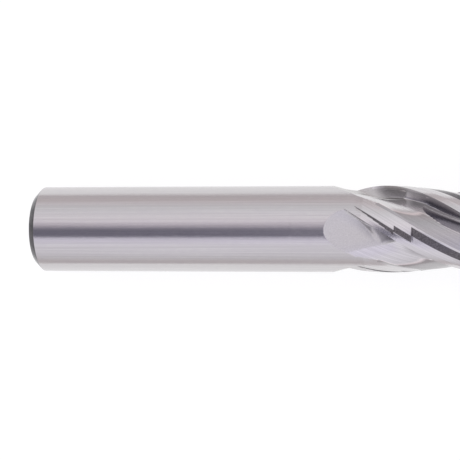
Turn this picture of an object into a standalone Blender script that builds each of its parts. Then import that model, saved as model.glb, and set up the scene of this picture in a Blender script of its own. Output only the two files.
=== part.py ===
"""A four-flute, right-hand square end mill with a plain cylindrical shank, on a friction-welded blank.

Frame: the tool axis is +X, the origin is the centre of the shank's back face, and +Z is up.
"""

import math

import bpy
import numpy as np

# ---- driving dimensions, in metres and degrees ----
DIAMETER = 0.012
OVERALL_LENGTH = 0.083
FLUTES = 4
HELIX_ANGLE = 32.0
SHANK_CHAMFER = 0.001
WELD_POSITION = 0.038
WELD_GAP = 0.0003

# ---- flute form: radii, diameters along the tool, degrees round it from the cutting edge ----
RAKE_SHEAR = 9.0            # degrees of undercut for each radius of depth
EDGE_CROSSES_FRONT = 4.186  # where the first cutting edge faces straight to -Y
FLOOR_START = 29.0          # where the flute meets the outside, on the heel side
FILLET_START = 85.0         # foot of the rake face

# ---- flute run-out: the floor left by the flute wheel at its last position, in diameters ----
WHEEL_FACES = 12.0          # direction the floor faces, in degrees
WHEEL_FLOOR = 0.300         # least distance of the floor from the axis
WHEEL_CENTRE = 3.91         # where that is, along the helix
WHEEL_RADIUS = 1.80         # arc of the floor along the helix
WHEEL_DISH_START = 1.97     # where the floor curls up to the edge, across the helix
WHEEL_DISH = 1.3            # how fast it curls
WHEEL_LIMIT = 80.0          # degrees to each side beyond which the wheel cannot reach
WHEEL_STEPS = 5             # rounds of the search for the floor's radius

# ---- the deeper cut in front of each tooth, which runs out further along ----
DEEP_DEPTH = 0.39
DEEP_HEEL = 30.0
DEEP_ROOT = 78.0
DEEP_EASING = 1.15          # how late the floor falls away from the heel
DEEP_LIFT_START = 4.62      # where it starts to lift, along the helix
DEEP_ARC = 1.51             # arc of the lift

# ---- land: relief ramps as ((degrees from, to), begins, stops) and the clearance behind them ----
RELIEFS = (
    ((7.0, 12.0), 3.92, 4.38),
    ((11.0, 18.0), 4.38, 4.58),
    ((20.0, 30.0), 4.58, 9.99),
)
RELIEF_DROP = 0.012
RELIEF_RUN_IN = 0.02
CLEARANCE_START = 9.0
CLEARANCE_SLOPE = 0.0026    # radii for each degree
CLEARANCE_BEGINS = 3.9
CLEARANCE_RUN_IN = 0.3

# ---- back-off facet behind the land ----
HEEL_START = 33.5
HEEL_RADIUS = 0.918
HEEL_SLOPE = 0.0055         # radii for each degree
HEEL_FULL = 4.76            # where the facet reaches its full depth
HEEL_LIFT = 0.09           # radii for each diameter short of that
HEEL_BEGINS = 4.15
HEEL_RUN_IN = 0.9           # radii for each diameter short of the beginning
HEEL_TURN = 60.0            # where the facet curls up, clear of the flute's floor
HEEL_CURL = 0.0012

# ---- flat in the corner of the scoop, before the cutting edge: degrees, diameters ----
CORNER_FACES = -5.0
CORNER_FLOOR = 0.355
CORNER_ANGLES = (62.0, 74.0, 85.6, 90.0)
CORNER_BEGINS = (4.26, 4.20, 4.12, 4.02)
CORNER_RISE = 3.0

# ---- second pass, where the swept floor takes over from the scoop: degrees, diameters along ----
PASS_ANGLES = (31.5, 66.0, 90.0)
PASS_BEGINS = (3.81, 4.24, 4.46)
PASS_STEP = 0.012
PASS_RUN_IN = 0.03

# ---- end teeth ----
END_DISH = 2.0              # concavity of the end, in degrees
END_RELIEF = 7.0            # in degrees
END_SECOND_RELIEF = 18.0
END_SECOND_START = 12.0
GASH_START = 40.0
GASH_DEPTH = 0.42           # in radii
GASH_WEB = 0.16             # radius of the uncut web at the centre, in radii
GASH_SLOPE = 0.3            # radial distance over which the gash reaches its depth
TIP_LENGTH = 0.4            # stretch behind the end teeth, in diameters

# ---- finish ----
SHANK_COLOUR = (0.62, 0.60, 0.61)
SHANK_ROUGHNESS = 0.28
HEAD_COLOUR = (0.66, 0.64, 0.65)
HEAD_ROUGHNESS = 0.22

# ---- mesh fineness ----
SHANK_SIDES = 64
LAND_COLUMNS = (0, 3.5, 7, 9.5, 12, 15, 18, 20, 25, 29, 30, 33.5)
FLOOR_COLUMNS = (41, 49, 57, 65, 73, 80, 85, 87, 88.8)
SHARP_ANGLE = 25
RUN_OUT_ROWS = 34
CUTTING_ROWS = 30
TIP_ROWS = 5
CAP_RINGS = 5

RADIUS = DIAMETER / 2
HELIX = math.radians(HELIX_ANGLE)
TWIST_RATE = math.degrees(2 * math.tan(HELIX))   # degrees for each diameter
SECTOR = 360 / FLUTES
RUN_OUT_START = 3.45
RUN_OUT_END = 4.90
END_POSITION = OVERALL_LENGTH / DIAMETER
TIP_START = END_POSITION - TIP_LENGTH


def clear_scene():
    for obj in list(bpy.data.objects):
        bpy.data.objects.remove(obj, do_unlink=True)


def steel(name, colour, roughness):
    material = bpy.data.materials.new(name)
    material.use_nodes = True
    shader = material.node_tree.nodes["Principled BSDF"]
    shader.inputs["Base Color"].default_value = (*colour, 1)
    shader.inputs["Metallic"].default_value = 1.0
    shader.inputs["Roughness"].default_value = roughness
    return material


def make_object(name, points, faces, material):
    mesh = bpy.data.meshes.new(name)
    mesh.from_pydata([tuple(p) for p in points], [], faces)
    mesh.validate()
    mesh.materials.append(material)
    mesh.shade_smooth()
    mesh.set_sharp_from_angle(angle=math.radians(SHARP_ANGLE))
    obj = bpy.data.objects.new(name, mesh)
    bpy.context.collection.objects.link(obj)
    return obj


# ---- the tool's surface, with r in radii, s in diameters from the shank end ----

def land_radius(angle, s):
    """The land from the cutting edge back: margin, relief ramps that begin one after another, heel."""
    radius = 1.0
    for ramp, start, stop in RELIEFS:
        begun = min(max((s - start) / RELIEF_RUN_IN, 0), 1)
        ended = min(max((s - stop) / RELIEF_RUN_IN, 0), 1)
        down = min(max((angle - ramp[0]) / (ramp[1] - ramp[0]), 0), 1)
        radius -= RELIEF_DROP * down * begun * (1 - ended)
    clearance = min(max((s - CLEARANCE_BEGINS) / CLEARANCE_RUN_IN, 0), 1)
    radius -= CLEARANCE_SLOPE * max(min(angle, HEEL_START) - CLEARANCE_START, 0) * clearance
    if angle < HEEL_START:
        return radius
    heel = HEEL_RADIUS - HEEL_SLOPE * (angle - HEEL_START) + HEEL_CURL * max(angle - HEEL_TURN, 0) ** 2
    heel += HEEL_LIFT * max(HEEL_FULL - s, 0) + HEEL_RUN_IN * max(HEEL_BEGINS - s, 0)
    return min(radius, heel)


def turn_from_front(angle, s):
    """The direction of a point round the axis, in radians from -Y."""
    return math.radians(angle - SECTOR - TWIST_RATE * (s - EDGE_CROSSES_FRONT))


def wheel_radius(angle, s):
    """The floor left by the flute wheel at its last position: a shallow dish."""
    turned = turn_from_front(angle, s) - math.radians(WHEEL_FACES)
    if abs(turned) > math.radians(WHEEL_LIMIT):
        return 1.0
    radius = 1.0
    for _ in range(WHEEL_STEPS):
        side = 0.5 * radius * math.sin(turned)
        along = s * math.cos(HELIX) - side * math.sin(HELIX)
        across = s * math.sin(HELIX) + side * math.cos(HELIX)
        height = WHEEL_FLOOR + (along - WHEEL_CENTRE) ** 2 / (2 * WHEEL_RADIUS)
        height += WHEEL_DISH * max(across - WHEEL_DISH_START, 0) ** 2
        radius = min(2 * height / math.cos(turned), 1.5)
    return min(radius, 1.0)


def deep_radius(angle, s):
    """The second, deeper cut in front of the tooth."""
    if angle < DEEP_HEEL:
        return 1.0
    share = min((angle - DEEP_HEEL) / (DEEP_ROOT - DEEP_HEEL), 1)
    section = 1 - DEEP_DEPTH * math.sin(math.pi / 2 * share ** DEEP_EASING) ** 2
    along = s * math.cos(HELIX) - 0.5 * turn_from_front(angle, s) * math.sin(HELIX)
    return section + max(DEEP_LIFT_START - along, 0) ** 2 / DEEP_ARC


def rake_fillet(angle, floor):
    """The rounded foot of the rake face, which rises from the floor to the cutting edge."""
    up = min(max((angle - FILLET_START) / (SECTOR - FILLET_START), 0), 1)
    return floor + (1 - floor) * (1 - math.sqrt(1 - up ** 2))


def corner_radius(angle, s):
    """The flat in the corner of the scoop, which stops where the second pass begins."""
    if angle < CORNER_ANGLES[0] or second_pass(angle, s) > 0:
        return 1.0
    turned = turn_from_front(angle, s) - math.radians(CORNER_FACES)
    before = max(np.interp(angle, CORNER_ANGLES, CORNER_BEGINS) - s, 0)
    return 2 * CORNER_FLOOR / math.cos(turned) + CORNER_RISE * before ** 2


def second_pass(angle, s):
    """0 on the scoop and 1 on the floor swept after it."""
    begins = np.interp(angle, PASS_ANGLES, PASS_BEGINS)
    return min(max((s - begins) / PASS_RUN_IN, 0), 1)


def column_radii(angle, stations):
    """The radius at each station: the wheel's floor stays cut wherever the wheel has passed."""
    floor = 1.0
    radii = []
    for s in stations:
        if angle > FLOOR_START:
            floor = min(floor, wheel_radius(angle, s))
        swept = floor - PASS_STEP * second_pass(angle, s) if floor < 1 else 1.0
        cut = rake_fillet(angle, min(swept, corner_radius(angle, s), deep_radius(angle, s)))
        radii.append(min(land_radius(angle, s), cut))
    return radii


def end_position(angle, radius):
    """How far along the tool its end reaches: dished, relieved behind each edge, gashed before it."""
    drop = (1 - radius) * math.tan(math.radians(END_DISH))
    first = min(angle, END_SECOND_START)
    second = max(angle - END_SECOND_START, 0)
    drop += radius * math.radians(first) * math.tan(math.radians(END_RELIEF))
    drop += radius * math.radians(second) * math.tan(math.radians(END_SECOND_RELIEF))
    gash = max(angle - GASH_START, 0) / (SECTOR - GASH_START)
    reach = min(max((radius - GASH_WEB) / GASH_SLOPE, 0), 1)
    drop += GASH_DEPTH * gash * reach
    return END_POSITION - drop / 2


def surface_point(angle, s, radius, sector):
    """A world point from the angle above a cutting edge, with the helix and the rake's undercut."""
    turned = angle + sector * SECTOR - TWIST_RATE * (s - EDGE_CROSSES_FRONT) + RAKE_SHEAR * (1 - radius)
    turned = math.radians(turned)
    return (s * DIAMETER, -radius * RADIUS * math.cos(turned), radius * RADIUS * math.sin(turned))


# ---- the two pieces ----

def ring_faces(rows, columns):
    faces = []
    for row in range(rows - 1):
        for column in range(columns):
            following = (column + 1) % columns
            here, there = row * columns, (row + 1) * columns
            faces.append((here + column, there + column, there + following, here + following))
    return faces


def make_shank():
    end = WELD_POSITION - WELD_GAP / 2
    profile = ((0, RADIUS - SHANK_CHAMFER), (SHANK_CHAMFER, RADIUS), (end, RADIUS))
    turns = [2 * math.pi * i / SHANK_SIDES for i in range(SHANK_SIDES)]
    points = [(x, -r * math.cos(t), r * math.sin(t)) for x, r in profile for t in turns]
    faces = ring_faces(len(profile), SHANK_SIDES)
    last = (len(profile) - 1) * SHANK_SIDES
    faces.append(tuple(range(SHANK_SIDES)))
    faces.append(tuple(range(last + SHANK_SIDES - 1, last - 1, -1)))
    return make_object("shank", points, faces, steel("ground_shank_steel", SHANK_COLOUR, SHANK_ROUGHNESS))


def head_rows(columns):
    """Rings of (angle, s, radius, sector) from the weld to the rim of the end teeth."""
    stations = [(WELD_POSITION + WELD_GAP / 2) / DIAMETER]
    stations += list(np.linspace(RUN_OUT_START, RUN_OUT_END, RUN_OUT_ROWS))
    stations += list(np.linspace(RUN_OUT_END, TIP_START, CUTTING_ROWS + 1)[1:])
    radii = {angle: column_radii(angle, stations) for angle, _ in columns}
    rows = [[(angle, s, radii[angle][row], sector) for angle, sector in columns]
            for row, s in enumerate(stations)]
    for step in range(1, TIP_ROWS + 1):
        row = []
        for angle, sector in columns:
            rim = radii[angle][-1]
            s = TIP_START + (end_position(angle, rim) - TIP_START) * step / TIP_ROWS
            row.append((angle, s, rim, sector))
        rows.append(row)
    return rows


def make_cutting_head():
    columns = [(angle, sector) for sector in range(FLUTES) for angle in LAND_COLUMNS + FLOOR_COLUMNS]
    rows = head_rows(columns)
    rim_row = rows[-1]
    points = [surface_point(angle, s, radius, sector) for row in rows for angle, s, radius, sector in row]
    for ring in range(1, CAP_RINGS):
        share = 1 - ring / CAP_RINGS
        for angle, s, radius, sector in rim_row:
            x, y, z = surface_point(angle, s, radius, sector)
            points.append((end_position(angle, radius * share) * DIAMETER, y * share, z * share))
    row_count = len(rows) + CAP_RINGS - 1
    faces = ring_faces(row_count, len(columns))
    faces.append(tuple(range(len(columns))))
    centre = len(points)
    points.append(((END_POSITION - math.tan(math.radians(END_DISH)) / 2) * DIAMETER, 0, 0))
    last = (row_count - 1) * len(columns)
    for column in range(len(columns)):
        faces.append((last + (column + 1) % len(columns), last + column, centre))
    return make_object("cutting_head", points, faces, steel("ground_head_steel", HEAD_COLOUR, HEAD_ROUGHNESS))


clear_scene()
make_shank()
make_cutting_head()
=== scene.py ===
"""The end mill's looks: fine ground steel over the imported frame, lying on a white sheet in soft light."""

import math

import bpy
import numpy as np
from mathutils import Matrix, Vector


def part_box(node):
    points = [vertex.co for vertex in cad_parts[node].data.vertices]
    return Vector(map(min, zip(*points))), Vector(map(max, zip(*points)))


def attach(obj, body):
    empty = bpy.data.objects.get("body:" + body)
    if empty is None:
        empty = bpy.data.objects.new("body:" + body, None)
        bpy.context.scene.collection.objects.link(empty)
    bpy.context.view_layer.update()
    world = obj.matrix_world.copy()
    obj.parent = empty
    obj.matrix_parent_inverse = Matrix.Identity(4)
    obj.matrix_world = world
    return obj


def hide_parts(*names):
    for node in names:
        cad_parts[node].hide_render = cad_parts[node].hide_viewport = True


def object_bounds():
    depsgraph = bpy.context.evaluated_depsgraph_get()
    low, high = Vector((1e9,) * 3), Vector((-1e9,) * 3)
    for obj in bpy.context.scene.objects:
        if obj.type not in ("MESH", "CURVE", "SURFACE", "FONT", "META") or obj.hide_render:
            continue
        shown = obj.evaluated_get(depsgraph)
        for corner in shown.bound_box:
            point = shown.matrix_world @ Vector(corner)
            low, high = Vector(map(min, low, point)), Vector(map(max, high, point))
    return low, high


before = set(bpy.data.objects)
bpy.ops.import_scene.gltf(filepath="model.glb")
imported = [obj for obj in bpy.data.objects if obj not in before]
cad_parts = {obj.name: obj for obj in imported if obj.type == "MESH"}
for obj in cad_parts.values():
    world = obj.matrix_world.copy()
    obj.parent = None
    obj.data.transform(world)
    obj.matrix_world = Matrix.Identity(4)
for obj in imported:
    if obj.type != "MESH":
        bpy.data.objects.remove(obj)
cad_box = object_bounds()

# ---- sizes from the frame, in metres; s is a distance along the tool in diameters ----
SHANK_LOW, SHANK_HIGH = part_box("shank")
HEAD_LOW, HEAD_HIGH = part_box("cutting_head")
DIAMETER = SHANK_HIGH[2] - SHANK_LOW[2]
RADIUS = DIAMETER / 2
JOINT = (SHANK_HIGH[0] + HEAD_LOW[0]) / 2
END_POSITION = HEAD_HIGH[0] / DIAMETER
SHANK_CHAMFER = 0.001
EDGE_ROUND = 0.00008

# ---- flute form, as in the CAD: radii, diameters along the tool, degrees from the cutting edge ----
FLUTES = 4
SECTOR = 360 / FLUTES
HELIX = math.radians(32.0)
TWIST_RATE = math.degrees(2 * math.tan(HELIX))   # degrees for each diameter
RAKE_SHEAR = 9.0            # degrees of undercut for each radius of depth
EDGE_CROSSES_FRONT = 4.186  # where the first cutting edge faces straight up
FLOOR_START = 29.0          # where the flute meets the outside, on the heel side
FILLET_START = 85.0         # foot of the rake face

# ---- flute run-out: the floor left by the flute wheel at its last position ----
WHEEL_FACES = 12.0
WHEEL_FLOOR = 0.300
WHEEL_CENTRE = 3.91
WHEEL_RADIUS = 1.80
WHEEL_DISH_START = 1.97
WHEEL_DISH = 1.3
WHEEL_LIMIT = math.radians(80)   # the wheel cannot reach further round than this
WHEEL_STEPS = 5             # rounds of the search for the floor's radius
WHEEL_MOST = 1.5            # radius that the search never passes

# ---- the deeper cut in front of each tooth ----
DEEP_DEPTH = 0.39
DEEP_HEEL = 30.0
DEEP_ROOT = 78.0
DEEP_EASING = 1.15
DEEP_LIFT_START = 4.62
DEEP_ARC = 1.51

# ---- land: relief ramps as ((degrees from, to), begins, stops) and the clearance behind them ----
RELIEFS = (
    ((7.0, 12.0), 3.92, 4.38),
    ((11.0, 18.0), 4.38, 4.58),
    ((20.0, 30.0), 4.58, 9.99),
)
RELIEF_DROP = 0.012
RELIEF_RUN_IN = 0.02
CLEARANCE_START = 9.0
CLEARANCE_SLOPE = 0.0026
CLEARANCE_BEGINS = 3.9
CLEARANCE_RUN_IN = 0.3

# ---- back-off facet behind the land ----
HEEL_START = 33.5
HEEL_RADIUS = 0.918
HEEL_SLOPE = 0.0055
HEEL_FULL = 4.76            # where the facet reaches its full depth
HEEL_LIFT = 0.09
HEEL_BEGINS = 4.15
HEEL_RUN_IN = 0.9
HEEL_TURN = 60.0            # where the facet curls up, clear of the flute's floor
HEEL_CURL = 0.0012

# ---- flat in the corner of the scoop, before the cutting edge ----
CORNER_FACES = -5.0
CORNER_FLOOR = 0.355
CORNER_ANGLES = (62.0, 74.0, 85.6, 90.0)
CORNER_BEGINS = (4.26, 4.20, 4.12, 4.02)
CORNER_RISE = 3.0

# ---- second pass, where the swept floor takes over from the scoop ----
PASS_ANGLES = (31.5, 66.0, 90.0)
PASS_BEGINS = (3.81, 4.24, 4.46)
PASS_STEP = 0.012
PASS_RUN_IN = 0.03

# ---- end teeth ----
END_DISH = math.radians(2)
END_RELIEF = math.radians(7)
END_SECOND_RELIEF = math.radians(18)
END_SECOND_START = 12.0
GASH_START = 40.0
GASH_DEPTH = 0.42
GASH_WEB = 0.16
GASH_SLOPE = 0.3            # radial distance over which the gash reaches its depth
TIP_START = END_POSITION - 0.4

# ---- painted shade, a painted highlight, and where the steel is ground another way ----
FLUTED_FROM = 4.0           # wheel marks follow the helix from here on
FACET_EDGE = 0.004          # depth within which the edge of a facet gets a painted highlight
DARK_MARGIN = 0.5           # degrees that the painted shade on a relief ramp reaches past its ends
RELIEF_WIDENS = 0.46        # length over which the painted shade on the first ramp reaches its full width
# painted shade in the corner of the scoop and at the root of the full flute: where it begins, how it fades
# in, and how dark it is
CORNER_FADE = 0.14
CORNER_SHADE = 0.65
ROOT_ANGLES = (62.0, 75.0)
ROOT_BEGINS = (4.44, 4.56)
ROOT_SHADE = 0.5
# how dark the painted shade on the heel facets is
HEEL_SHADE = 0.4
END_FINISH = (0, 1, 0)

# ---- fineness of the finished meshes ----
ROUND_SIDES = 192
END_FACE_RINGS = (0.1, 0.35, 0.6)
SHANK_RINGS = 24
LAND_COLUMNS = np.concatenate([np.linspace(0, 34, 46), np.linspace(34, 85, 40)[1:]])
EDGE_COLUMNS = 85 + 5 * np.sin(np.linspace(0, math.pi / 2, 12)[1:-1])
RUN_OUT_START = 3.40
RUN_OUT_END = 4.90
NECK_ROWS = 8
RUN_OUT_ROWS = 220
CUTTING_ROWS = 110
TIP_ROWS = 14
CAP_RINGS = 20
SHANK_SHARP = math.radians(40)
HEAD_SHARP = math.radians(12)

# ---- camera: distances in tool diameters ----
LENS = 211.3
SENSOR = 36.0
CAMERA_YAW = math.radians(14.6)
CAMERA_DISTANCE = 31.58
AIM_ALONG = 2.34
AIM_SIDE = -0.0111
CLIP_END = 10               # in metres


def add_camera():
    """A long lens above the tool, turned a little towards the cutting end."""
    data = bpy.data.cameras.new("camera")
    data.lens = LENS
    data.sensor_width = SENSOR
    data.clip_end = CLIP_END
    camera = bpy.data.objects.new("camera", data)
    bpy.context.scene.collection.objects.link(camera)
    back = Vector((math.sin(CAMERA_YAW), 0, math.cos(CAMERA_YAW)))
    side = Vector((math.cos(CAMERA_YAW), 0, -math.sin(CAMERA_YAW)))
    aim = Vector((AIM_ALONG, AIM_SIDE, 0)) * DIAMETER
    turn = Matrix((side, back.cross(side), back)).transposed()
    camera.matrix_world = Matrix.Translation(aim + back * CAMERA_DISTANCE * DIAMETER) @ turn.to_4x4()
    bpy.context.scene.camera = camera


# ---- the tool's surface: r in radii, s in diameters from the shank end ----

def unit(value):
    """The value held between 0 and 1."""
    return min(max(value, 0), 1)


def turn_from_top(angle, s):
    """The direction round the axis, in radians from straight up, in the flute before the first edge."""
    return math.radians(angle - SECTOR - TWIST_RATE * (s - EDGE_CROSSES_FRONT))


def land_radius(angle, s):
    """The land from the cutting edge back: margin, relief ramps that begin one after another, heel."""
    radius = 1.0
    for ramp, start, stop in RELIEFS:
        begun = unit((s - start) / RELIEF_RUN_IN)
        ended = unit((s - stop) / RELIEF_RUN_IN)
        down = unit((angle - ramp[0]) / (ramp[1] - ramp[0]))
        radius -= RELIEF_DROP * down * begun * (1 - ended)
    clearance = unit((s - CLEARANCE_BEGINS) / CLEARANCE_RUN_IN)
    radius -= CLEARANCE_SLOPE * max(min(angle, HEEL_START) - CLEARANCE_START, 0) * clearance
    if angle < HEEL_START:
        return radius
    heel = HEEL_RADIUS - HEEL_SLOPE * (angle - HEEL_START) + HEEL_CURL * max(angle - HEEL_TURN, 0) ** 2
    heel += HEEL_LIFT * max(HEEL_FULL - s, 0) + HEEL_RUN_IN * max(HEEL_BEGINS - s, 0)
    return min(radius, heel)


def wheel_radius(angle, s):
    """The floor left by the flute wheel at its last position: a shallow dish that faces WHEEL_FACES."""
    turned = turn_from_top(angle, s) - math.radians(WHEEL_FACES)
    if abs(turned) > WHEEL_LIMIT:
        return 1.0
    radius = 1.0
    for _ in range(WHEEL_STEPS):
        side = radius / 2 * math.sin(turned)
        along = s * math.cos(HELIX) - side * math.sin(HELIX)
        across = s * math.sin(HELIX) + side * math.cos(HELIX)
        height = WHEEL_FLOOR + (along - WHEEL_CENTRE) ** 2 / (2 * WHEEL_RADIUS)
        height += WHEEL_DISH * max(across - WHEEL_DISH_START, 0) ** 2
        radius = min(2 * height / math.cos(turned), WHEEL_MOST)
    return min(radius, 1.0)


def deep_radius(angle, s):
    """The second, deeper cut in front of the tooth, which runs out further towards the cutting end."""
    if angle < DEEP_HEEL:
        return 1.0
    share = min((angle - DEEP_HEEL) / (DEEP_ROOT - DEEP_HEEL), 1)
    section = 1 - DEEP_DEPTH * math.sin(math.pi / 2 * share ** DEEP_EASING) ** 2
    along = s * math.cos(HELIX) - turn_from_top(angle, s) / 2 * math.sin(HELIX)
    return section + max(DEEP_LIFT_START - along, 0) ** 2 / DEEP_ARC


def rake_fillet(angle, floor):
    """The rounded foot of the rake face, which rises from the floor to the cutting edge."""
    up = unit((angle - FILLET_START) / (SECTOR - FILLET_START))
    return floor + (1 - floor) * (1 - math.sqrt(1 - up ** 2))


def corner_radius(angle, s):
    """The flat in the corner of the scoop, which stops where the second pass begins."""
    if angle < CORNER_ANGLES[0] or second_pass(angle, s) > 0:
        return 1.0
    turned = turn_from_top(angle, s) - math.radians(CORNER_FACES)
    before = max(np.interp(angle, CORNER_ANGLES, CORNER_BEGINS) - s, 0)
    return 2 * CORNER_FLOOR / math.cos(turned) + CORNER_RISE * before ** 2


def second_pass(angle, s):
    """0 on the scoop and 1 on the floor swept after it."""
    begins = np.interp(angle, PASS_ANGLES, PASS_BEGINS)
    return unit((s - begins) / PASS_RUN_IN)


def painted_shade(angle, s):
    """Painted shade: 1 on a relief ramp, and rising in the corner of the scoop and at the root of the full
    flute.
    """
    for ramp, start, stop in RELIEFS:
        widened = min((s - start) / RELIEF_WIDENS, 1) if start == RELIEFS[0][1] else 1
        foot = ramp[1] - (ramp[1] - ramp[0]) * widened
        if start <= s < stop and foot - DARK_MARGIN < angle < ramp[1] + DARK_MARGIN:
            return 1.0
    into = (s - np.interp(angle, CORNER_ANGLES, CORNER_BEGINS)) / CORNER_FADE
    corner = CORNER_SHADE * unit(into) * (1 - second_pass(angle, s))
    root = ROOT_SHADE * np.interp(angle, ROOT_ANGLES, (0, 1)) * np.interp(s, ROOT_BEGINS, (0, 1))
    return max(corner, root)


def column_surface(angle, stations):
    """(radius, finish_and_shade, edge) at each station: the floor stays cut wherever the wheel has passed.

    The first value of finish_and_shade is painted shade; the others say whether the steel is ground along
    the helix or in the scoop. The edge says how near it is to the edge between the heel facet and the
    floor, where a highlight is painted.
    """
    floor = 1.0
    column = []
    for s in stations:
        if angle > FLOOR_START:
            floor = min(floor, wheel_radius(angle, s))
        swept = floor - PASS_STEP * second_pass(angle, s) if floor < 1 else 1.0
        cut = rake_fillet(angle, min(swept, corner_radius(angle, s), deep_radius(angle, s)))
        land = land_radius(angle, s)
        radius = min(land, cut)
        scoop = (1 - second_pass(angle, s)) * float(cut < land)
        helical = float(s > FLUTED_FROM or cut < land) * (1 - scoop)
        heel = float(angle > HEEL_START and s > HEEL_BEGINS)
        # where the painted highlight along the edge of the heel facet goes
        edge = max(1 - abs(land - cut) / FACET_EDGE, 0) * heel
        # painted shade on the relief ramps, in the scoop's corner, at the flute's root and on the heel
        # facets
        dark = max(painted_shade(angle, s), HEEL_SHADE * heel * float(land < cut))
        column.append((radius, (dark, helical, scoop), edge))
    return column


def end_position(angle, radius):
    """How far along the tool its end reaches: dished, relieved behind each edge, gashed before it."""
    drop = (1 - radius) * math.tan(END_DISH)
    first = min(angle, END_SECOND_START)
    second = max(angle - END_SECOND_START, 0)
    drop += radius * math.radians(first) * math.tan(END_RELIEF)
    drop += radius * math.radians(second) * math.tan(END_SECOND_RELIEF)
    gash = max(angle - GASH_START, 0) / (SECTOR - GASH_START)
    reach = unit((radius - GASH_WEB) / GASH_SLOPE)
    drop += GASH_DEPTH * gash * reach
    return END_POSITION - drop / 2


def surface_point(angle, s, radius, sector):
    """A world point from the angle above a cutting edge, with the helix and the rake's undercut."""
    turned = angle + sector * SECTOR - TWIST_RATE * (s - EDGE_CROSSES_FRONT) + RAKE_SHEAR * (1 - radius)
    turned = math.radians(turned)
    return (s * DIAMETER, radius * RADIUS * math.sin(turned), radius * RADIUS * math.cos(turned))


# ---- meshes ----

def ring_faces(rows, columns):
    """The faces between rings of points that follow one another along the tool."""
    faces = []
    for row in range(rows - 1):
        for column in range(columns):
            following = (column + 1) % columns
            here, there = row * columns, (row + 1) * columns
            faces.append((here + column, here + following, there + following, there + column))
    return faces


def make_piece(name, points, faces, marks, material, sharp):
    """A closed mesh whose points carry where they are on the tool, how they were ground, and where shade
    and a highlight are painted.
    """
    mesh = bpy.data.meshes.new(name)
    mesh.from_pydata(points, [], faces)
    flow, finish_and_shade, edge = zip(*marks)
    mesh.attributes.new("flow", "FLOAT_VECTOR", "POINT").data.foreach_set("vector", np.ravel(flow))
    mesh.attributes.new("finish_and_shade", "FLOAT_VECTOR", "POINT").data.foreach_set("vector", np.ravel(finish_and_shade))
    mesh.attributes.new("edge", "FLOAT", "POINT").data.foreach_set("value", edge)
    mesh.materials.append(material)
    mesh.shade_smooth()
    mesh.set_sharp_from_angle(angle=sharp)
    obj = bpy.data.objects.new(name, mesh)
    bpy.context.scene.collection.objects.link(obj)
    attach(obj, "root")
    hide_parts(name)
    return obj


def rounded(corner_from, corner, corner_to, size, steps=5):
    """Points that round a corner of a profile off."""
    before = (Vector(corner_from) - Vector(corner)).normalized() * size
    after = (Vector(corner_to) - Vector(corner)).normalized() * size
    start, middle, end = Vector(corner) + before, Vector(corner), Vector(corner) + after
    shares = [step / steps for step in range(steps + 1)]
    return [tuple((1 - t) ** 2 * start + 2 * t * (1 - t) * middle + t * t * end) for t in shares]


def make_shank(material):
    """The plain shank, turned from a profile, with a chamfer whose two edges are rounded."""
    back = (0, RADIUS - SHANK_CHAMFER)
    shoulder = (SHANK_CHAMFER, RADIUS)
    end = (JOINT, RADIUS)
    profile = [(0, RADIUS * share) for share in END_FACE_RINGS]
    profile += rounded((0, 0), back, shoulder, EDGE_ROUND)
    profile += rounded(back, shoulder, end, EDGE_ROUND)
    profile += [(x, RADIUS) for x in np.linspace(2 * SHANK_CHAMFER, JOINT, SHANK_RINGS)]
    turns = [2 * math.pi * i / ROUND_SIDES - math.pi for i in range(ROUND_SIDES)]
    points = [(x, r * math.sin(t), r * math.cos(t)) for x, r in profile for t in turns]
    marks = [((x, t * r, r), (float(SHANK_CHAMFER > x > 0), 0, 0), 0) for x, r in profile for t in turns]
    faces = ring_faces(len(profile), ROUND_SIDES)
    last = (len(profile) - 1) * ROUND_SIDES
    faces.append(tuple(range(ROUND_SIDES - 1, -1, -1)))
    faces.append(tuple(range(last, last + ROUND_SIDES)))
    return make_piece("shank", points, faces, marks, material, SHANK_SHARP)


def head_rows(columns):
    """Rings of (angle, s, sector, radius, finish_and_shade, edge), from the joint to the rim of the end
    teeth.
    """
    stations = list(np.linspace(JOINT / DIAMETER, RUN_OUT_START, NECK_ROWS)[:-1])
    stations += list(np.linspace(RUN_OUT_START, RUN_OUT_END, RUN_OUT_ROWS))
    stations += list(np.linspace(RUN_OUT_END, TIP_START, CUTTING_ROWS + 1)[1:])
    surface = {angle: column_surface(angle, stations) for angle in sorted({angle for angle, _ in columns})}
    rows = [[(angle, s, sector, *surface[angle][row]) for angle, sector in columns]
            for row, s in enumerate(stations)]
    for step in range(1, TIP_ROWS + 1):
        share = step / TIP_ROWS
        row = []
        for angle, sector in columns:
            rim, finish_and_shade, edge = surface[angle][-1]
            s = TIP_START + (end_position(angle, rim) - TIP_START) * share
            row.append((angle, s, sector, rim, finish_and_shade, edge))
        rows.append(row)
    return rows


def flow_place(angle, s, radius, sector):
    """Where a point is along the tool, round it in the helix's own turning frame, and out from it."""
    return (s * DIAMETER, math.radians(angle + SECTOR * sector) * RADIUS, radius * RADIUS)


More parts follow.
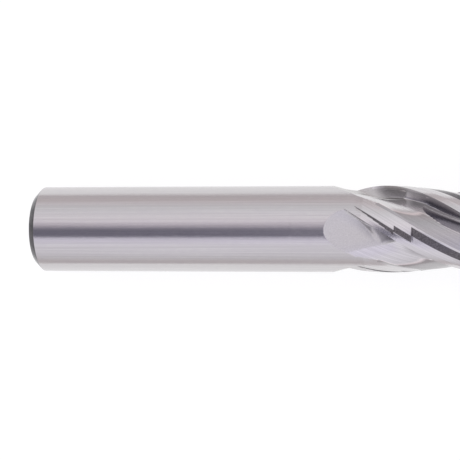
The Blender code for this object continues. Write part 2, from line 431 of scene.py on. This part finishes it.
def make_cutting_head(material):
    """The fluted head: its columns follow the helix, and rings close in over the end teeth."""
    angles = [float(angle) for angle in (*LAND_COLUMNS, *EDGE_COLUMNS)]
    columns = [(angle, sector) for sector in range(FLUTES) for angle in angles]
    rows = head_rows(columns)
    points = []
    marks = []
    for row in rows:
        for angle, s, sector, radius, finish_and_shade, edge in row:
            points.append(surface_point(angle, s, radius, sector))
            marks.append((flow_place(angle, s, radius, sector), finish_and_shade, edge))
    for ring in range(1, CAP_RINGS):
        share = 1 - ring / CAP_RINGS
        for angle, s, sector, radius, _, _ in rows[-1]:
            _, y, z = surface_point(angle, s, radius, sector)
            points.append((end_position(angle, radius * share) * DIAMETER, y * share, z * share))
            marks.append((flow_place(angle, s, radius * share, sector), END_FINISH, 0))
    row_count = len(rows) + CAP_RINGS - 1
    faces = ring_faces(row_count, len(columns))
    faces.append(tuple(range(len(columns) - 1, -1, -1)))
    centre = len(points)
    points.append(((END_POSITION - math.tan(END_DISH) / 2) * DIAMETER, 0, 0))
    marks.append(((HEAD_HIGH[0], 0, 0), END_FINISH, 0))
    last = (row_count - 1) * len(columns)
    for column in range(len(columns)):
        faces.append((last + column, last + (column + 1) % len(columns), centre))
    return make_piece("cutting_head", points, faces, marks, material, HEAD_SHARP)


# ---- materials: colours are (low, high) across a noise, or one colour ----

PLAIN_TONES = ((0.545, 0.53, 0.53, 1), (0.625, 0.61, 0.61, 1))
MOTTLE_TONE = (0.56, 0.54, 0.555, 1)
TURNED_TONES = ((0.02, 0.02, 0.025, 1), (0.08, 0.075, 0.08, 1))
FLUTED_TONES = ((0.56, 0.545, 0.55, 1), (0.70, 0.685, 0.69, 1))
SCOOP_TONES = ((0.49, 0.478, 0.475, 1), (0.63, 0.62, 0.61, 1))
# painted shade, for the relief ramps, the scoop's corner, the flute's root and the heel facets
PAINTED_SHADE_TONES = ((0.05, 0.045, 0.05, 1), (0.20, 0.19, 0.20, 1))
# painted highlight along the edge of the heel facets
EDGE_HIGHLIGHT_TONE = (0.86, 0.80, 0.80, 1)
SHANK_ROUGHNESS = (0.08, 0.16)
HEAD_ROUGHNESS = (0.10, 0.19)
SCOOP_ROUGHNESS = (0.30, 0.30, 0.30, 1)
NOISE_MIDDLE = (0.3, 0.7)   # the part of a noise's range that is used
MOTTLE_MIDDLE = (0.35, 0.7)
MOTTLE_SHARE = 0.5
# how often each noise repeats in a metre, along the tool and across it
GRAIN_SCALE = (9000, 5000, 5000)
STREAK_SCALE = (30, 3200, 3200)
MOTTLE_SCALE = (900, 1200, 1200)
TURNED_SCALE = (900, 900, 900)
WHEEL_MARK_SCALE = (120, 5000, 2500)
FROST_SCALE = (6500, 6500, 6500)
# (height in metres, strength) of what stands on the steel
GRAIN_BUMP = (0.000016, 0.8)
MOTTLE_BUMP = (0.000006, 0.4)
WHEEL_MARK_HEIGHT = 0.00001
WHEEL_MARK_STRENGTH = 0.5


class Nodes:
    """A small helper that adds nodes to one material and wires them."""

    def __init__(self, name):
        self.material = bpy.data.materials.new(name)
        self.material.use_nodes = True
        self.tree = self.material.node_tree
        self.shader = self.tree.nodes["Principled BSDF"]

    def add(self, kind, **settings):
        """A new node with its settings."""
        node = self.tree.nodes.new(kind)
        for key, value in settings.items():
            setattr(node, key, value)
        return node

    def put(self, value, socket):
        """A link from an output, or else a constant."""
        if hasattr(value, "is_output"):
            self.tree.links.new(value, socket)
        else:
            socket.default_value = value

    def flow(self, stretch):
        """Coordinates along the tool, round it and out from it, each scaled."""
        flow = self.add("ShaderNodeAttribute", attribute_name="flow")
        mapping = self.add("ShaderNodeMapping")
        mapping.inputs["Scale"].default_value = stretch
        self.put(flow.outputs["Vector"], mapping.inputs["Vector"])
        return mapping.outputs["Vector"]

    def place(self, stretch):
        """Coordinates along and across the tool, straight through the steel, each scaled."""
        place = self.add("ShaderNodeTexCoord")
        mapping = self.add("ShaderNodeMapping")
        mapping.inputs["Scale"].default_value = stretch
        self.put(place.outputs["Object"], mapping.inputs["Vector"])
        return mapping.outputs["Vector"]

    def finish_and_shade(self, axis):
        """One of the marks of how the steel was ground, or the painted shade."""
        finish_and_shade = self.add("ShaderNodeAttribute", attribute_name="finish_and_shade")
        split = self.add("ShaderNodeSeparateXYZ")
        self.put(finish_and_shade.outputs["Vector"], split.inputs["Vector"])
        return split.outputs[axis]

    def noise(self, place, detail, roughness):
        noise = self.add("ShaderNodeTexNoise")
        noise.inputs["Scale"].default_value = 1.0
        noise.inputs["Detail"].default_value = detail
        noise.inputs["Roughness"].default_value = roughness
        self.put(place, noise.inputs["Vector"])
        return noise.outputs["Fac"]

    def remap(self, value, low, high, to_low, to_high):
        remap = self.add("ShaderNodeMapRange")
        self.put(value, remap.inputs["Value"])
        for key, number in zip(("From Min", "From Max", "To Min", "To Max"), (low, high, to_low, to_high)):
            remap.inputs[key].default_value = number
        return remap.outputs["Result"]

    def spread(self, noise, low=0.0, high=1.0):
        """The middle of a noise's range, from low to high."""
        return self.remap(noise, *NOISE_MIDDLE, low, high)

    def mix(self, share, first, second):
        mix = self.add("ShaderNodeMix", data_type="RGBA")
        self.put(share, mix.inputs["Factor"])
        self.put(first, mix.inputs["A"])
        self.put(second, mix.inputs["B"])
        return mix.outputs["Result"]

    def bump(self, height, distance, strength, after=None):
        bump = self.add("ShaderNodeBump")
        self.put(height, bump.inputs["Height"])
        bump.inputs["Distance"].default_value = distance
        self.put(strength, bump.inputs["Strength"])
        if after is not None:
            self.put(after, bump.inputs["Normal"])
        return bump.outputs["Normal"]


def plain_ground(nodes):
    """Centreless-ground steel: its colour, and the speckled grain and mottle that stand on it."""
    grain = nodes.noise(nodes.place(GRAIN_SCALE), 5.0, 0.7)
    streaks = nodes.noise(nodes.place(STREAK_SCALE), 3.0, 0.6)
    mottle = nodes.noise(nodes.place(MOTTLE_SCALE), 5.0, 0.6)
    tone = nodes.mix(nodes.spread(streaks), *PLAIN_TONES)
    tone = nodes.mix(nodes.remap(mottle, *MOTTLE_MIDDLE, 0, MOTTLE_SHARE), tone, MOTTLE_TONE)
    return tone, grain, mottle


def grain_bump(nodes, grain, mottle):
    """The relief of the fine grain, and of the broader mottle over it."""
    fine = nodes.bump(grain, *GRAIN_BUMP)
    return nodes.bump(mottle, *MOTTLE_BUMP, fine)


def shank_steel():
    """The plain shank: speckled grain, a faint mottle, long soft streaks, and a dark turned chamfer."""
    nodes = Nodes("centreless_ground_steel")
    tone, grain, mottle = plain_ground(nodes)
    scale = nodes.noise(nodes.place(TURNED_SCALE), 3.0, 0.6)
    turned = nodes.mix(nodes.spread(scale), *TURNED_TONES)
    nodes.put(nodes.mix(nodes.finish_and_shade("X"), tone, turned), nodes.shader.inputs["Base Color"])
    nodes.put(nodes.spread(grain, *SHANK_ROUGHNESS), nodes.shader.inputs["Roughness"])
    nodes.put(grain_bump(nodes, grain, mottle), nodes.shader.inputs["Normal"])
    nodes.shader.inputs["Metallic"].default_value = 1.0
    return nodes.material


def head_steel():
    """The plain neck of the bar, wheel marks along the flutes, a frosted scoop, painted shade on the relief
    ramps, the scoop's corner, the flute's root and the heel facets, and a painted highlight along the heel
    facets' edge.
    """
    nodes = Nodes("fluted_ground_steel")
    plain, grain, mottle = plain_ground(nodes)
    marks = nodes.noise(nodes.flow(WHEEL_MARK_SCALE), 4.0, 0.65)
    frost = nodes.noise(nodes.place(FROST_SCALE), 3.0, 0.75)
    speckle = nodes.spread(frost)
    tone = nodes.mix(nodes.finish_and_shade("Y"), plain, nodes.mix(nodes.spread(marks), *FLUTED_TONES))
    tone = nodes.mix(nodes.finish_and_shade("Z"), tone, nodes.mix(speckle, *SCOOP_TONES))
    # painted shade over the steel's own tone
    tone = nodes.mix(nodes.finish_and_shade("X"), tone, nodes.mix(speckle, *PAINTED_SHADE_TONES))
    # painted highlight along the edge of the heel facets
    edge = nodes.add("ShaderNodeAttribute", attribute_name="edge").outputs["Fac"]
    nodes.put(nodes.mix(edge, tone, EDGE_HIGHLIGHT_TONE), nodes.shader.inputs["Base Color"])
    smooth = nodes.spread(grain, *HEAD_ROUGHNESS)
    nodes.put(nodes.mix(nodes.finish_and_shade("Z"), smooth, SCOOP_ROUGHNESS), nodes.shader.inputs["Roughness"])
    depth = nodes.remap(nodes.finish_and_shade("Y"), 0, 1, 0, WHEEL_MARK_STRENGTH)
    worn = grain_bump(nodes, grain, mottle)
    nodes.put(nodes.bump(marks, WHEEL_MARK_HEIGHT, depth, worn), nodes.shader.inputs["Normal"])
    nodes.shader.inputs["Metallic"].default_value = 1.0
    return nodes.material


# ---- surroundings ----

# the soft surround, by the angle from straight up towards +Y: (degrees, colour)
SURROUND = (
    (-180, (0.90, 0.90, 0.92)), (-84, (0.79, 0.77, 0.81)), (-70, (0.90, 0.88, 0.94)),
    (-46, (0.97, 0.95, 1.02)), (-34, (0.91, 0.88, 1.00)), (-26, (0.95, 0.92, 1.06)),
    (30, (1.00, 0.96, 1.01)), (46, (0.94, 0.92, 0.97)), (62, (0.85, 0.84, 0.87)),
    (80, (0.81, 0.75, 0.78)), (90, (0.66, 0.60, 0.60)), (180, (0.90, 0.90, 0.92)),
)
# the one dark thing in the room, overhead: its edges across and along the tool, each (from, to) in degrees
DARK_COLOUR = (0.215, 0.205, 0.265, 1)
DARK_FADE = (0.80, 0.68, 0.76, 1)
DARK_NEAR = (-25, -21.5)
DARK_FAR = (-4, 29)
DARK_TAIL = (-75, -55)
DARK_HEAD = (-10, 2)
# the white sheet under the tool and the grey bench beyond it
SHEET_SIZE = (0.30, 0.068)
SHEET_CENTRE = 0.03
SHEET_COLOUR = (0.25, 0.25, 0.25, 1)
SHEET_GLOW = (0.83, 0.83, 0.83, 1)
SHEET_GAP = 0.0002
FLAT_ROUGHNESS = 0.9
BENCH_SIZE = (3, 3)
BENCH_GLOW = (0.44, 0.40, 0.40, 1)
BENCH_DEPTH = 0.001


def add_surround():
    """A soft bright room with one dark patch overhead, which the camera sees mirrored in the shank."""
    world = bpy.data.worlds.new("soft_studio")
    world.use_nodes = True
    bpy.context.scene.world = world
    tree = world.node_tree

    def add(kind, *sources, **settings):
        node = tree.nodes.new(kind)
        for key, value in settings.items():
            setattr(node, key, value)
        for source, socket in zip(sources, node.inputs):
            if hasattr(source, "is_output"):
                tree.links.new(source, socket)
            else:
                socket.default_value = source
        return node

    def step(value, edges, falling=False):
        low, high = (math.radians(edge) for edge in edges)
        ends = (1.0, 0.0) if falling else (0.0, 1.0)
        smooth = add("ShaderNodeMapRange", value, low, high, *ends, interpolation_type="SMOOTHSTEP")
        return smooth.outputs["Result"]

    def times(first, second):
        return add("ShaderNodeMath", first, second, operation="MULTIPLY").outputs["Value"]

    place = add("ShaderNodeTexCoord")
    split = add("ShaderNodeSeparateXYZ", place.outputs["Generated"])
    sideways, upward = split.outputs["Y"], split.outputs["Z"]
    around = add("ShaderNodeMath", sideways, upward, operation="ARCTAN2").outputs["Value"]
    along = add("ShaderNodeMath", split.outputs["X"], operation="ARCSINE").outputs["Value"]
    share = add("ShaderNodeMapRange", around, -math.pi, math.pi)
    ramp = add("ShaderNodeValToRGB", share.outputs["Result"])
    stops = ramp.color_ramp.elements
    while len(stops) < len(SURROUND):
        stops.new(0.5)
    for stop, (degrees, colour) in zip(stops, SURROUND):
        stop.position = (degrees + 180) / 360
        stop.color = (*colour, 1)
    across = times(step(around, DARK_NEAR), step(around, DARK_FAR, falling=True))
    lengthways = times(step(along, DARK_TAIL), step(along, DARK_HEAD, falling=True))
    dark = add("ShaderNodeMix", data_type="RGBA")
    tree.links.new(step(around, DARK_FAR), dark.inputs["Factor"])
    dark.inputs["A"].default_value = DARK_COLOUR
    dark.inputs["B"].default_value = DARK_FADE
    mix = add("ShaderNodeMix", data_type="RGBA")
    tree.links.new(times(across, lengthways), mix.inputs["Factor"])
    tree.links.new(ramp.outputs["Color"], mix.inputs["A"])
    tree.links.new(dark.outputs["Result"], mix.inputs["B"])
    tree.links.new(mix.outputs["Result"], tree.nodes["Background"].inputs["Color"])


def add_flat(name, size, z, glow):
    """A matt sheet that lies level and glows a little, as under a light tent."""
    bpy.ops.mesh.primitive_plane_add(size=1, location=(SHEET_CENTRE, 0, z))
    flat = bpy.context.object
    flat.name = name
    flat.scale = (*size, 1)
    material = bpy.data.materials.new(name)
    material.use_nodes = True
    shader = material.node_tree.nodes["Principled BSDF"]
    shader.inputs["Base Color"].default_value = SHEET_COLOUR
    shader.inputs["Roughness"].default_value = FLAT_ROUGHNESS
    shader.inputs["Emission Color"].default_value = glow
    shader.inputs["Emission Strength"].default_value = 1.0
    flat.data.materials.append(material)


def add_table():
    """The white sheet just below the tool, and the bench just below the sheet."""
    top = cad_box[0][2] - SHEET_GAP
    add_flat("white_sheet", SHEET_SIZE, top, SHEET_GLOW)
    add_flat("bench", BENCH_SIZE, top - BENCH_DEPTH, BENCH_GLOW)


add_camera()
bpy.context.scene.view_settings.view_transform = "Standard"
make_shank(shank_steel())
make_cutting_head(head_steel())
add_surround()
add_table()
